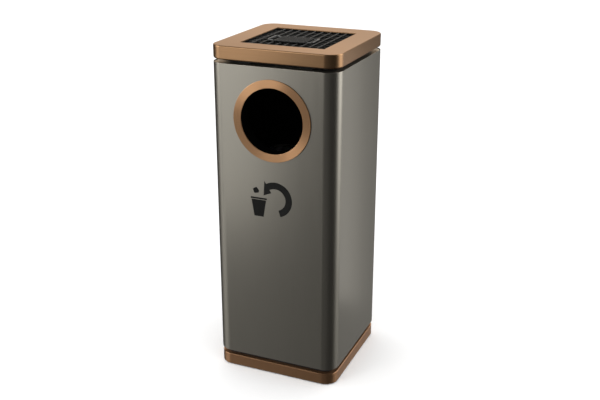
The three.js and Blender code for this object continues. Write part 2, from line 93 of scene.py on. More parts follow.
# Soft boxes: name, azimuth, distance, height, width, tallness, height aimed at, watts. They are
# weak because they stand close.
SOFT_BOXES = (
    ("upper_box", -20, 0.85, 0.85, 0.25, 0.3, 0.4, 1.05),
    ("left_box", -30, 0.85, 0.5, 0.25, 0.3, 0.4, 0.21),
    ("lower_left_box", -30, 0.85, 0.2, 0.25, 0.3, 0.4, 0.18),
    ("right_back_strip", 125, 0.3, 0.33, 0.06, 0.6, 0.33, 0.065),
)

# How finely curves are divided
CORNER_STEPS = 14
TURN_STEPS = 128
WIRE_SIDES = 14
BEND_STEPS = 8
DOME_STEPS = 5

SHARP_ANGLE = 35.0  # degrees: a sharper edge isn't smoothed


# ------------------------------------------------------------------ node helpers


class Nodes:
    """A material's node tree, with short ways to add and link nodes."""

    def __init__(self, name):
        self.material = bpy.data.materials.new(name)
        self.material.use_nodes = True
        self.tree = self.material.node_tree
        self.shader = self.tree.nodes["Principled BSDF"]

    def add(self, kind, **settings):
        """A new node of this kind with its settings."""
        node = self.tree.nodes.new(kind)
        for key, value in settings.items():
            setattr(node, key, value)
        return node

    def link(self, source, target):
        self.tree.links.new(source, target)

    def set(self, name, value):
        """A fixed value for one of the shader's inputs."""
        self.shader.inputs[name].default_value = value

    def place(self, scale):
        """Object coordinates in metres, stretched by scale along each axis."""
        coordinates = self.add("ShaderNodeTexCoord")
        mapping = self.add("ShaderNodeMapping")
        mapping.inputs["Scale"].default_value = scale
        self.link(coordinates.outputs["Object"], mapping.inputs["Vector"])
        return mapping.outputs["Vector"]

    def noise(self, scale, detail=3.0, roughness=0.5):
        """Noise whose grain has this many periods a metre along each axis."""
        node = self.add("ShaderNodeTexNoise")
        node.inputs["Scale"].default_value = 1.0
        node.inputs["Detail"].default_value = detail
        node.inputs["Roughness"].default_value = roughness
        self.link(self.place(scale), node.inputs["Vector"])
        return node.outputs["Fac"]

    def ramp(self, value, stops):
        """A colour ramp of (position, colour) stops."""
        node = self.add("ShaderNodeValToRGB")
        elements = node.color_ramp.elements
        while len(elements) < len(stops):
            elements.new(0.5)
        for element, (position, colour) in zip(elements, stops):
            element.position = position
            element.color = (*colour, 1.0)
        self.link(value, node.inputs["Fac"])
        return node.outputs["Color"]

    def spread(self, value, low, high):
        """Noise, which lies mostly between 0.25 and 0.75, mapped to low..high."""
        node = self.add("ShaderNodeMapRange")
        node.inputs["From Min"].default_value = 0.25
        node.inputs["From Max"].default_value = 0.75
        node.inputs["To Min"].default_value = low
        node.inputs["To Max"].default_value = high
        self.link(value, node.inputs["Value"])
        return node.outputs["Result"]

    def tinted(self, colour, tint, amount):
        """A colour mixed with one fixed tint; the amount varies over the surface."""
        node = self.add("ShaderNodeMix", data_type="RGBA")
        sockets = {(socket.name, socket.type): socket for socket in node.inputs}
        self.link(amount, sockets["Factor", "VALUE"])
        self.link(colour, sockets["A", "RGBA"])
        sockets["B", "RGBA"].default_value = (*tint, 1.0)
        return next(socket for socket in node.outputs if socket.type == "RGBA")

    def bump(self, value, strength, distance):
        """Relief too fine to model; distance is its depth in metres."""
        node = self.add("ShaderNodeBump")
        node.inputs["Strength"].default_value = strength
        node.inputs["Distance"].default_value = distance
        self.link(value, node.inputs["Height"])
        self.link(node.outputs["Normal"], self.shader.inputs["Normal"])


# ------------------------------------------------------------------ materials


def metal(name, dark, light, grain, roughness, stretch=None, tint=None, lacquer=0.0):
    """Finely grained metal with cloudy tint; stretch is the tangent's axis and the anisotropy."""
    n = Nodes(name)
    n.set("Metallic", 1.0)
    n.set("Coat Weight", lacquer)
    n.set("Coat Roughness", 0.32)
    streaks = n.noise(grain, detail=4.0, roughness=0.65)
    clouds = n.noise((7.0, 7.0, 5.0), detail=3.0)
    colour = n.ramp(streaks, [(0.3, dark), (0.7, light)])
    if tint:
        colour = n.tinted(colour, tint, n.spread(clouds, 0.0, 0.45))
    n.link(colour, n.shader.inputs["Base Color"])
    n.link(n.spread(streaks, roughness - 0.035, roughness + 0.035), n.shader.inputs["Roughness"])
    if stretch:
        axis, anisotropy = stretch
        n.set("Anisotropic", anisotropy)
        n.set("Anisotropic Rotation", 0.25)
        tangent = n.add("ShaderNodeTangent", direction_type="RADIAL", axis=axis)
        n.link(tangent.outputs["Tangent"], n.shader.inputs["Tangent"])
    n.bump(streaks, 0.12, 0.02 * MM)
    return n.material


def painted(name, colour, roughness, texture_scale, bump, shine=0.5):
    """Powder coat or moulded plastic: fine orange peel, slight colour clouds."""
    n = Nodes(name)
    n.set("Specular IOR Level", shine)
    peel = n.noise((texture_scale,) * 3, detail=2.0)
    clouds = n.noise((30.0,) * 3, detail=3.0)
    lighter = tuple(c * 1.4 for c in colour)
    n.link(n.ramp(clouds, [(0.35, colour), (0.7, lighter)]), n.shader.inputs["Base Color"])
    n.link(n.spread(clouds, roughness - 0.05, roughness + 0.05), n.shader.inputs["Roughness"])
    n.bump(peel, bump, 0.05 * MM)
    return n.material


def galvanised_sheet():
    """Zinc spangle: flat crystals of slightly different grey and gloss."""
    n = Nodes("galvanised_sheet")
    n.set("Metallic", 1.0)
    cells = n.add("ShaderNodeTexVoronoi")
    cells.inputs["Scale"].default_value = 1.0
    n.link(n.place((130.0, 130.0, 130.0)), cells.inputs["Vector"])
    split = n.add("ShaderNodeSeparateColor")
    n.link(cells.outputs["Color"], split.inputs["Color"])
    grey = n.ramp(split.outputs["Red"], [(0.0, (0.36, 0.37, 0.38)), (1.0, (0.52, 0.53, 0.54))])
    n.link(grey, n.shader.inputs["Base Color"])
    n.link(n.spread(split.outputs["Green"], 0.36, 0.5), n.shader.inputs["Roughness"])
    return n.material


def fibreboard():
    """Pressed brown board with short flat fibres."""
    n = Nodes("fibreboard")
    fibres = n.noise((260.0, 260.0, 700.0), detail=5.0, roughness=0.7)
    n.link(n.ramp(fibres, [(0.3, (0.16, 0.1, 0.06)), (0.7, (0.32, 0.22, 0.13))]),
           n.shader.inputs["Base Color"])
    n.set("Roughness", 0.85)
    n.bump(fibres, 0.35, 0.2 * MM)
    return n.material


# Grain, in periods a metre along each axis
UPRIGHT_GRAIN = (1500.0, 1500.0, 9.0)
ACROSS_GRAIN = (9.0, 1500.0, 1500.0)
RING_GRAIN = (1300.0,) * 3
PLATED_GRAIN = (900.0,) * 3
WIRE_GRAIN = (700.0,) * 3

GUNMETAL = metal("gunmetal", (0.4, 0.377, 0.324), (0.42, 0.395, 0.339), UPRIGHT_GRAIN, 0.34,
                 stretch=("Z", 0.3), tint=(0.41, 0.383, 0.323))
COPPER = metal("copper_cap", (0.389, 0.224, 0.112), (0.452, 0.262, 0.132), ACROSS_GRAIN, 0.34,
               stretch=("Z", 0.4), tint=(0.405, 0.235, 0.12), lacquer=0.15)
RING_COPPER = metal("copper_ring", (0.555, 0.312, 0.16), (0.63, 0.354, 0.182), RING_GRAIN, 0.42,
                    stretch=("Y", 0.85), lacquer=0.1)
PLINTH_COPPER = metal("copper_plinth", (0.488, 0.255, 0.124), (0.558, 0.298, 0.148), ACROSS_GRAIN,
                      0.4, stretch=("Z", 0.4), tint=(0.512, 0.275, 0.139), lacquer=0.5)
ZINC = metal("zinc_plate", (0.5, 0.5, 0.49), (0.6, 0.6, 0.58), PLATED_GRAIN, 0.3)
WIRE_STEEL = metal("dark_wire", (0.064, 0.064, 0.062), (0.095, 0.095, 0.092), WIRE_GRAIN, 0.42)
LOOP_STEEL = metal("loop_wire", (0.17, 0.17, 0.168), (0.23, 0.23, 0.227), WIRE_GRAIN, 0.3)
BLACK_STEEL = painted("black_powder_coat", (0.012, 0.0115, 0.011), 0.38, 2200.0, 0.3)
PAN_BLACK = painted("pan_black", (0.003, 0.003, 0.0028), 0.6, 1800.0, 0.25, shine=0.15)
BLACK_PLASTIC = painted("black_plastic", (0.012, 0.012, 0.012), 0.5, 1500.0, 0.25)
RUBBER = painted("black_rubber", (0.014, 0.014, 0.014), 0.8, 1200.0, 0.4)
GALVANISED = galvanised_sheet()
BOARD = fibreboard()
INK = painted("print_ink", (0.006, 0.006, 0.0055), 0.7, 900.0, 0.05, shine=0.1)
# The sleeve is black; its near-zero colour and missing sheen are painted shade, so the opening reads
# as dark as the shade inside the bin.
THROAT_BLACK_AND_SHADE = painted("throat_black_and_shade", (0.001, 0.001, 0.001), 0.9, 900.0, 0.1, shine=0.02)


# ------------------------------------------------------------------ mesh helpers


def finished(name, mesh, material, body, nodes=(), weighted=True):
    mesh.materials.append(material)
    piece = bpy.data.objects.new(name, mesh)
    bpy.context.scene.collection.objects.link(piece)
    mesh.polygons.foreach_set("use_smooth", [True] * len(mesh.polygons))
    mesh.set_sharp_from_angle(angle=math.radians(SHARP_ANGLE))
    if weighted:
        normals = piece.modifiers.new("flat_faces_stay_flat", "WEIGHTED_NORMAL")
        normals.keep_sharp = True
        normals.weight = 90
    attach(piece, body)
    if nodes:
        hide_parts(*nodes)
    return piece


def mesh_from(work, name):
    """A mesh made from a working mesh, its faces turned outwards."""
    bmesh.ops.recalc_face_normals(work, faces=work.faces)
    mesh = bpy.data.meshes.new(name)
    work.to_mesh(mesh)
    work.free()
    return mesh


def square_ring(half, radius, z):
    """Points round a square with rounded corners, the same number whatever the radius."""
    radius = max(radius, 0.02 * MM)
    straight = half - radius
    points = []
    for quarter in range(4):
        start = -math.pi / 2 + quarter * math.pi / 2
        cx = straight * (1 if quarter in (0, 1) else -1)
        cy = straight * (1 if quarter in (1, 2) else -1)
        for step in range(CORNER_STEPS + 1):
            a = start + step / CORNER_STEPS * math.pi / 2
            points.append((cx + radius * math.cos(a), cy + radius * math.sin(a), z))
    return points


def add_loft(work, rings, closed):
    """Skins rings of equal length; closed joins the last to the first, else both ends are filled."""
    rings = [[work.verts.new(p) for p in ring] for ring in rings]
    count = len(rings[0])
    following = rings[1:] + rings[:1] if closed else rings[1:]
    for ring, after in zip(rings, following):
        for i in range(count):
            j = (i + 1) % count
            work.faces.new((ring[i], ring[j], after[j], after[i]))
    if not closed:
        work.faces.new(rings[0])
        work.faces.new(rings[-1])


def loft(name, rings, closed=True):
    """A mesh skinned over rings of points."""
    work = bmesh.new()
    add_loft(work, rings, closed)
    return mesh_from(work, name)


def arc(cx, cz, radius, start, end, steps):
    """(offset, height) points on an arc, angles in degrees."""
    points = []
    for step in range(steps + 1):
        a = math.radians(start + (end - start) * step / steps)
        points.append((cx + radius * math.cos(a), cz + radius * math.sin(a)))
    return points


def square_profile(name, profile, corner_at, corner_r, closed=True):
    """Sweeps (half-width, height) points round a square whose corners share their centres.

    A point at half-width corner_at has radius corner_r; further in, the radius shrinks with it.
    """
    rings = [square_ring(half, corner_r - (corner_at - half), z) for half, z in profile]
    return loft(name, rings, closed)


def circle(centre, side, other, radius, steps):
    """Points round a circle in the plane of two square directions."""
    angles = [2 * math.pi * i / steps for i in range(steps)]
    return [centre + (side * math.cos(a) + other * math.sin(a)) * radius for a in angles]


def revolved(name, profile, centre, axis, steps=TURN_STEPS, closed=True):
    """Turns (radius, distance along axis) points about an axis through centre."""
    axis = Vector(axis).normalized()
    side = axis.orthogonal().normalized()
    other = axis.cross(side)
    rings = [circle(Vector(centre) + axis * h, side, other, r, steps) for r, h in profile]
    return loft(name, rings, closed)


def add_wire(work, path, radius, sides=WIRE_SIDES):
    """A round wire along points, with flat ends."""
    path = [Vector(p) for p in path]
    rings = []
    normal = None
    for i, point in enumerate(path):
        before, after = path[max(i - 1, 0)], path[min(i + 1, len(path) - 1)]
        along = (after - before).normalized()
        if normal is None:
            normal = along.orthogonal().normalized()
        normal = (normal - along * normal.dot(along)).normalized()
        rings.append(circle(point, normal, along.cross(normal), radius, sides))
    add_loft(work, rings, closed=False)


def bent(points, radii):
    """Straight runs with round bends of the given radii at the inner points."""
    points = [Vector(p) for p in points]
    path = [points[0]]
    for i, radius in enumerate(radii):
        corner = points[i + 1]
        back = (points[i] - corner).normalized()
        on = (points[i + 2] - corner).normalized()
        half = back.angle(on) / 2
        reach = radius / math.tan(half)
        centre = corner + (back + on).normalized() * (radius / math.sin(half))
        first = corner + back * reach - centre
        last = corner + on * reach - centre
        for step in range(BEND_STEPS + 1):
            turned = first.slerp(last, step / BEND_STEPS).normalized()
            path.append(centre + turned * first.length)
    path.append(points[-1])
    return path


def add_box(work, low, high, bevel=0.0):
    """A box between two corners, its edges rounded by bevel."""
    low, high = Vector(low), Vector(high)
    made = bmesh.ops.create_cube(work, size=1.0)
    bmesh.ops.scale(work, vec=high - low, verts=made["verts"])
    bmesh.ops.translate(work, vec=(low + high) / 2, verts=made["verts"])
    if bevel:
        edges = list({e for v in made["verts"] for e in v.link_edges})
        bmesh.ops.bevel(work, geom=edges, offset=bevel, segments=3, affect="EDGES", profile=0.5)


def cut_by(piece, cutter):
    """Subtracts cutter from piece for good, and removes the cutter."""
    change = piece.modifiers.new("cut", "BOOLEAN")
    change.operation = "DIFFERENCE"
    change.solver = "EXACT"
    change.object = cutter
    with bpy.context.temp_override(object=piece, active_object=piece, selected_objects=[piece]):
        bpy.ops.object.modifier_apply(modifier=change.name)
    bpy.data.objects.remove(cutter)


def loose(name, data):
    """An object in the scene that isn't a piece, or not yet."""
    made = bpy.data.objects.new(name, data)
    bpy.context.scene.collection.objects.link(made)
    return made


def adopted(made):
    """The finished mesh of a loose object, which is then removed."""
    mesh = made.data
    bpy.data.objects.remove(made)
    return mesh


# ------------------------------------------------------------------ casing


def casing_skin():
    """The sheet tube with eased edges, the round hole and a weld seam down the back; its inner faces
    are painted near-black as painted shade.
    """
    edge = 0.55 * MM
    low, high = SHELL_LOW.z, SHELL_HIGH.z
    outer, inner = HALF, HALF - SHEET
    profile = [
        *arc(outer - edge, low + edge, edge, -90, 0, 3),
        *arc(outer - edge, high - edge, edge, 0, 90, 3),
        *arc(inner + edge, high - edge, edge, 90, 180, 2),
        *arc(inner + edge, low + edge, edge, 180, 270, 2),
    ]
    tube = loose("tube", square_profile("tube", profile, outer, CORNER_R))
    hole_r, beyond = 65.2 * MM, 20 * MM
    hole = revolved("hole", [(hole_r, -beyond), (hole_r, beyond)], (0, FRONT_Y, OPENING_Z),
                    (0, 1, 0), closed=False)
    cut_by(tube, loose("hole", hole))
    seam_half, seam_depth = 0.35 * MM, 0.3 * MM
    groove = bmesh.new()
    add_box(groove, (-seam_half, HALF - seam_depth, low - beyond),
            (seam_half, HALF + beyond, high + beyond))
    cut_by(tube, loose("groove", mesh_from(groove, "groove")))
    piece = finished("casing_skin", adopted(tube), GUNMETAL, "casing",
                     ["casing_shell"])
    # The inside faces get the pan's near-black: painted shade for the dark interior seen through the
    # hole.
    return shade_painted_inside(piece, PAN_BLACK)


def shade_painted_inside(piece, material):
    """Gives the faces that look towards the middle of the bin a second, near-black material: painted
    shade for the dark inside.
    """
    piece.data.materials.append(material)
    clearly_inward = HALF / 2
    for face in piece.data.polygons:
        inward = -(face.normal.x * face.center.x + face.normal.y * face.center.y)
        if inward > clearly_inward:
            face.material_index = 1
    return piece


def ring_skin():
    """The flat ring with eased inner and outer edges, and its spigot."""
    outer = (RING_HIGH.x - RING_LOW.x) / 2
    face = FRONT_Y - RING_LOW.y
    thickness, soft = 1.7 * MM, 0.5 * MM
    spigot_outer, spigot_inner = 64.6 * MM, 63.2 * MM
    back = face - thickness
    spigot_end = FRONT_Y - RING_HIGH.y
    profile = [
        (THROAT_R, back),
        *arc(THROAT_R + soft, face - soft, soft, 180, 90, 4),
        *arc(outer - soft, face - soft, soft, 90, 0, 4),
        (outer, back),
        (spigot_outer, back),
        (spigot_outer, spigot_end),
        (spigot_inner, spigot_end),
        (spigot_inner, back),
    ]
    mesh = revolved("ring_skin", profile, (0, FRONT_Y, OPENING_Z), (0, -1, 0))
    return finished("ring_skin", mesh, RING_COPPER, "casing", ["opening_ring"])


def sleeve_skin():
    """The black sleeve through the opening, all four edges eased."""
    low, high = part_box("throat_sleeve")
    outer = (high.x - low.x) / 2
    length = high.y - low.y
    soft = 0.5 * MM
    profile = [
        *arc(THROAT_R + soft, -soft, soft, 180, 90, 3),
        *arc(outer - soft, -soft, soft, 90, 0, 3),
        *arc(outer - soft, soft - length, soft, 0, -90, 3),
        *arc(THROAT_R + soft, soft - length, soft, -90, -180, 3),
    ]
    mesh = revolved("sleeve_skin", profile, (0, low.y, OPENING_Z), (0, -1, 0))
    return finished("sleeve_skin", mesh, THROAT_BLACK_AND_SHADE, "casing", ["throat_sleeve"])


def top_frame_skin():
    """The folded angle frame inside the top edge: an upright leg and an inward flange."""
    low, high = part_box("casing_top_frame")
    outer = high.x
    flange_in = 97 * MM
    bend, soft = 1.0 * MM, 0.3 * MM
    profile = [
        (outer - SHEET, low.z),
        (outer, low.z),
        *arc(outer - bend, high.z - bend, bend, 0, 90, 4),
        (flange_in + soft, high.z),
        (flange_in, high.z - soft),
        (flange_in, high.z - SHEET),
        (outer - SHEET, high.z - SHEET),
    ]
    mesh = square_profile("top_frame_skin", profile, outer, CORNER_R - (HALF - outer))
    return finished("top_frame_skin", mesh, GUNMETAL, "casing",
                    ["casing_top_frame"])


# ------------------------------------------------------------------ plinth


def plinth_skin():
    """Folded plinth: a skirt with a rounded upper fold and a flat top plate, open below."""
    outer = PLINTH_HIGH.x
    low, high = PLINTH_LOW.z, PLINTH_HIGH.z
    wall = 1.5 * MM
    fold, soft = 0.9 * MM, 0.5 * MM
    middle = 10 * MM
    corner = CORNER_R - (HALF - outer)
    profile = [
        (middle, high - wall),
        (outer - wall, high - wall),
        (outer - wall, low + soft),
        *arc(outer - soft, low + soft, soft, -90, 0, 3),
        *arc(outer - fold, high - fold, fold, 0, 90, 5),
        (middle, high),
    ]
    mesh = square_profile("plinth_skin", profile, outer, corner, closed=False)
    return finished("plinth_skin", mesh, PLINTH_COPPER, "casing", ["plinth"])


# ------------------------------------------------------------------ lid


def cap_skin():
    """The folded cap, swept from its lower return, over its outer edges, to the lip inside."""
    low, high = CAP_LOW.z, CAP_HIGH.z
    outer = CAP_HIGH.x
    opening, opening_corner = 82.5 * MM, 0.5 * MM
    return_in = 109.2 * MM
    top_r, bottom_r, lip_r = 2.2 * MM, 3.2 * MM, 0.7 * MM
    outside = [
        (return_in, low + SHEET),
        (return_in, low),
        *arc(outer - bottom_r, low + bottom_r, bottom_r, -90, 0, 7),
        *arc(outer - top_r, high - top_r, top_r, 0, 90, 7),
    ]
    rings = [square_ring(half, CORNER_R - (outer - half), z) for half, z in outside]
    lip = [
        *arc(opening + lip_r, high - lip_r, lip_r, 90, 180, 4),
        (opening, PAN_RIM_Z),
        (opening + SHEET, PAN_RIM_Z),
        (opening + SHEET, high - SHEET),
    ]
    rings += [square_ring(half, half - opening + opening_corner, z) for half, z in lip]
    rings += [square_ring(outer - SHEET, CORNER_R - SHEET, z) for z in (high - SHEET, low + SHEET)]
    mesh = loft("cap_skin", rings)
    return finished("cap_skin", mesh, COPPER, "lid", ["lid_cap"])


def collar_skin():
    """The dark folded collar: upstand, plate and skirt in one Z-shaped fold."""
    low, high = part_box("lid_collar")
    outer = high.x
    skirt_out = 95.5 * MM
    plate_z = 620 * MM
    bend, corner = 1 * MM, 12 * MM
    profile = [
        (skirt_out - SHEET, low.z),
        (skirt_out, low.z),
        (skirt_out, plate_z),
        *arc(outer - bend, plate_z + bend, bend, -90, 0, 3),
        (outer, high.z),
        (outer - SHEET, high.z),
        (outer - SHEET, plate_z + SHEET),
        (skirt_out - SHEET, plate_z + SHEET),
    ]
    mesh = square_profile("collar_skin", profile, outer, corner)
    return finished("collar_skin", mesh, BLACK_STEEL, "lid", ["lid_collar"])


def pan_frame_skin():
    """The frame under the cap that carries the pan."""
    low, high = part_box("pan_frame")
    outer = high.x
    ledge, ledge_corner = 75 * MM, 0.5 * MM
    bend, corner = 1 * MM, 10.5 * MM
    flange = [
        (outer - SHEET, low.z),
        (outer, low.z),
        *arc(outer - bend, high.z - bend, bend, 0, 90, 3),
    ]
    rings = [square_ring(half, corner - (outer - half), z) for half, z in flange]
    rings += [square_ring(ledge, ledge_corner, z) for z in (high.z, high.z - SHEET)]
    rings.append(square_ring(outer - SHEET, corner - SHEET, high.z - SHEET))
    mesh = loft("pan_frame_skin", rings)
    return finished("pan_frame_skin", mesh, BLACK_STEEL, "lid", ["pan_frame"])


# ------------------------------------------------------------------ ash pan and grid


def pan_skin():
    """A pressed tray with a rounded floor edge, a flat rim and an upturned edge."""
    low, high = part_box("ash_pan")
    outer, rim_corner = high.x, 2 * MM
    body, body_corner = 74 * MM, 8 * MM
    wall, soft = 1 * MM, 0.3 * MM
    floor_r = 5 * MM
    middle, middle_corner = 2 * MM, 0.5 * MM
    outer_floor = arc(body - floor_r, low.z + floor_r, floor_r, -90, 0, 5)
    inner_floor = arc(body - floor_r, low.z + floor_r, floor_r - wall, 0, -90, 5)
    rings = [
        square_ring(middle, middle_corner, low.z),
        *(square_ring(half, body_corner - (body - half), z) for half, z in outer_floor),
        square_ring(body, body_corner, PAN_RIM_Z),
        square_ring(outer, rim_corner, PAN_RIM_Z),
        square_ring(outer, rim_corner, high.z - soft),
        square_ring(outer - soft, rim_corner - soft, high.z),
        square_ring(outer - wall, rim_corner - wall, high.z),
        square_ring(outer - wall, rim_corner - wall, PAN_RIM_Z + wall),
        square_ring(body - wall, body_corner - wall, PAN_RIM_Z + wall),
        *(square_ring(half, body_corner - (body - half), z) for half, z in inner_floor),
        square_ring(middle, middle_corner, low.z + wall),
    ]
    mesh = loft("pan_skin", rings, closed=False)
    return finished("pan_skin", mesh, PAN_BLACK, "ash_pan_body", ["ash_pan"])


def grid_wires():
    """Round bars welded across each other on a square frame bar."""
    low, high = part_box("ash_grid")
    wires, pitch = 9, 16 * MM
    wire_r, frame_r = 1.0 * MM, 1.8 * MM
    frame_corner = 4 * MM
    past_frame_middle = 0.6 * MM
    half = high.x - frame_r
    frame_z = low.z + frame_r
    around = [(-half, 0), (-half, -half), (half, -half), (half, half), (-half, half), (-half, 0)]
    work = bmesh.new()
    add_wire(work, bent([(x, y, frame_z) for x, y in around], [frame_corner] * 4), frame_r)
    lower_z = high.z - 3 * wire_r
    upper_z = high.z - wire_r
    reach = half + past_frame_middle
    for i in range(wires):
        at = (i - (wires - 1) / 2) * pitch
        add_wire(work, [(-reach, at, lower_z), (reach, at, lower_z)], wire_r)
        add_wire(work, [(at, -reach, upper_z), (at, reach, upper_z)], wire_r)
    return finished("grid_wires", mesh_from(work, "grid_wires"), WIRE_STEEL, "ash_grid_body",
                    ["ash_grid"], weighted=False)


def stub_rest_skin():
    """A ribbed pad: round ribs between two round rails on a thin black plate."""
    low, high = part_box("stub_rest")
    ribs, rib_r, rail_r = 14, 0.7 * MM, 1.3 * MM
    inset, drop = 0.4 * MM, 0.2 * MM
    plate_top = high.z - drop - 2 * rib_r
    plate = bmesh.new()
    add_box(plate, low, (high.x, high.y, plate_top), bevel=0.25 * MM)
    finished("stub_rest_plate", mesh_from(plate, "stub_rest_plate"), PAN_BLACK, "ash_grid_body")
    work = bmesh.new()
    front, back = low.y + rail_r, high.y - rail_r
    rail_z = high.z - rail_r
    for y in (front, back):
        add_wire(work, [(low.x, y, rail_z), (high.x, y, rail_z)], rail_r)
    first = low.x + rib_r + inset
    pitch = (high.x - low.x - 2 * (rib_r + inset)) / (ribs - 1)
    rib_z = high.z - drop - rib_r
    for i in range(ribs):
        x = first + i * pitch
        add_wire(work, [(x, front, rib_z), (x, back, rib_z)], rib_r)
    return finished("stub_rest_skin", mesh_from(work, "stub_rest_skin"), WIRE_STEEL,
                    "ash_grid_body", ["stub_rest"], weighted=False)


def grid_loop(side, name, node):
    """A wire loop at one end of the stub rest; side is -1 for the left end and 1 for the right."""
    low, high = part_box(node)
    wire_r, bend = 1.2 * MM, 3 * MM
    near, far = (low.x, high.x - wire_r) if side > 0 else (high.x, low.x + wire_r)
    front, back = low.y + wire_r, high.y - wire_r
    near_z, far_z = low.z + wire_r, high.z - wire_r
    points = [(near, front, near_z), (far, front, far_z), (far, back, far_z), (near, back, near_z)]
    work = bmesh.new()
    add_wire(work, bent(points, [bend] * 2), wire_r)
    return finished(name, mesh_from(work, name), LOOP_STEEL, "ash_grid_body", [node],
                    weighted=False)


# ------------------------------------------------------------------ liner and bail


def liner_skin():
    """A folded bucket with a rolled rim, its bottom edge rounded."""
    low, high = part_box("liner_bucket")
    outer, corner = 91 * MM, 18 * MM
    wall, lip_r, floor_r = 1 * MM, 1 * MM, 3 * MM
    middle = 20 * MM
    rim_out = high.x
    overlap = 0.4 * MM
    bead = (rim_out - outer) / 2 + overlap
    bead_z = high.z - bead
    profile = [
        (middle, low.z),
        *arc(outer - floor_r, low.z + floor_r, floor_r, -90, 0, 4),
        (outer, bead_z - bead),
        *arc(rim_out - bead, bead_z, bead, -120, 90, 9),
        *arc(outer - wall + lip_r, high.z - lip_r, lip_r, 90, 180, 3),
        *arc(outer - floor_r, low.z + floor_r, floor_r - wall, 0, -90, 4),
        (middle, low.z + wall),
    ]
    mesh = square_profile("liner_skin", profile, outer, corner, closed=False)
    return finished("liner_skin", mesh, GALVANISED, "liner", ["liner_bucket"])


def bail_skin():
    """The wire bail, lying flat: its two pins, its arms and its cross bar."""
    low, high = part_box("bail")
    wire_r = (high.z - low.z) / 2
    z = (low.z + high.z) / 2
    half, end = 84 * MM, high.x
    reach = high.y - wire_r
    pin_bend, corner_bend = 3.4 * MM, 15 * MM
    path = [(-end, 0), (-half, 0), (-half, reach), (half, reach), (half, 0), (end, 0)]
    bends = [pin_bend, corner_bend, corner_bend, pin_bend]
    work = bmesh.new()
    add_wire(work, bent([(x, y, z) for x, y in path], bends), wire_r, sides=18)
    return finished("bail_skin", mesh_from(work, "bail_skin"), ZINC, "bail_body",
                    ["bail"], weighted=False)


def grip_skin():
    """A moulded sleeve on the bail with finger grooves."""
    low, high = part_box("bail_grip")
    half = (high.x - low.x) / 2
    outer = (high.z - low.z) / 2
    bore, soft = 2.7 * MM, 1.5 * MM
    grooves, groove_depth = 4, 0.7 * MM
    points = 40
    start, end = soft - half, half - soft
    profile = [(bore, -half)]
    profile += arc(outer - soft, start, soft, -90, 0, 4)
    for i in range(1, points):
        along = i / points
        dip = groove_depth * (1 - math.cos(2 * math.pi * grooves * along)) / 2
        profile.append((outer - dip, start + (end - start) * along))
    profile += arc(outer - soft, end, soft, 0, 90, 4)
    profile.append((bore, half))
    mesh = revolved("grip_skin", profile, (low + high) / 2, (1, 0, 0), steps=40)
    return finished("grip_skin", mesh, BLACK_PLASTIC, "bail_body", ["bail_grip"])


# ------------------------------------------------------------------ fasteners and feet


def add_cross(work, centre, side, other, reach, arm, width):
    """A cross-shaped prism, reach to both sides of its centre."""
    outline = []
    for a, b in ((side, other), (other, -side), (-side, -other), (-other, side)):
        outline += [a * arm - b * width, a * arm + b * width, a * width + b * width]
    near = [work.verts.new(centre - reach + p) for p in outline]
    far = [work.verts.new(centre + reach + p) for p in outline]
    work.faces.new(near)
    work.faces.new(list(reversed(far)))
    for i in range(len(outline)):
        j = (i + 1) % len(outline)
        work.faces.new((near[i], far[i], far[j], near[j]))


def dome(radius, height):
    """(radius, height) points from a dome's rim to its top."""
    angles = [math.radians(90 * step / DOME_STEPS) for step in range(DOME_STEPS + 1)]
    return [(radius * math.cos(a), height * math.sin(a)) for a in angles]


def screw_head(node, body, out, head_depth):
    """A domed screw with a cross recess; out is the way its head faces."""
    low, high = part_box(node)
    out = Vector(out)
    axis = max(range(3), key=lambda i: abs(out[i]))
    first, second = [i for i in range(3) if i != axis]
    head_r = (high[first] - low[first]) / 2
    shank_r = head_r * 0.45
    tip_r = shank_r * 0.5
    arm, width, deep = head_r * 0.55, head_r * 0.12, head_depth * 0.55
    length = high[axis] - low[axis]
    tip = head_depth - length
    top_r = 0.01 * MM
    profile = [(tip_r, tip), (shank_r, tip + tip_r), (shank_r, 0), (head_r, 0)]
    profile += [(r + top_r, h) for r, h in dome(head_r, head_depth)[1:]]
    base = (low + high) / 2 + out * (length / 2 - head_depth)
    name = node + "_fine"
    screw = loose(name, revolved(name, profile, base, out, steps=32, closed=False))
    side, other = Vector((0, 0, 0)), Vector((0, 0, 0))
    side[first] = 1
    other[second] = 1
    recess = bmesh.new()
    add_cross(recess, base + out * head_depth, side, other, out * deep, arm, width)
    cut_by(screw, loose("recess", mesh_from(recess, "recess")))
    return finished(name, adopted(screw), ZINC, body, [node])


def rivet_skin(node):
    """A rivet with a low dome at both ends."""
    low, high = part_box(node)
    half = (high.x - low.x) / 2
    head_r = (high.z - low.z) / 2
    head_h, shank_r, top_r = 1.25 * MM, 1.9 * MM, 0.05 * MM
    shank_half = half - head_h
    right = [(max(r, top_r), shank_half + h) for r, h in dome(head_r, head_h)]
    left = [(r, -x) for r, x in reversed(right)]
    profile = left + [(shank_r, -shank_half), (shank_r, shank_half)] + right
    name = node + "_fine"
    mesh = revolved(name, profile, (low + high) / 2, (1, 0, 0), steps=28, closed=False)
    return finished(name, mesh, ZINC, "liner", [node])


def foot_skin(node):
    """A rubber foot, its lower edge rounded, with the pocket for its screw."""
    low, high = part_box(node)
    centre = ((low.x + high.x) / 2, (low.y + high.y) / 2, 0)
    outer = (high.x - low.x) / 2
    bore, pocket, pocket_top = 2.3 * MM, 5.2 * MM, 2.6 * MM
    pocket_soft, lower_soft, upper_soft = 0.4 * MM, 1.2 * MM, 0.3 * MM
    profile = [
        (bore, pocket_top),
        (pocket, pocket_top),
        *arc(pocket + pocket_soft, pocket_soft, pocket_soft, 180, 270, 3),
        *arc(outer - lower_soft, lower_soft, lower_soft, -90, 0, 5),
        (outer, high.z - upper_soft),
        (outer - upper_soft, high.z),
        (bore, high.z),
    ]
    name = node + "_fine"
    mesh = revolved(name, profile, centre, (0, 0, 1), steps=64)
    return finished(name, mesh, RUBBER, "casing", [node])


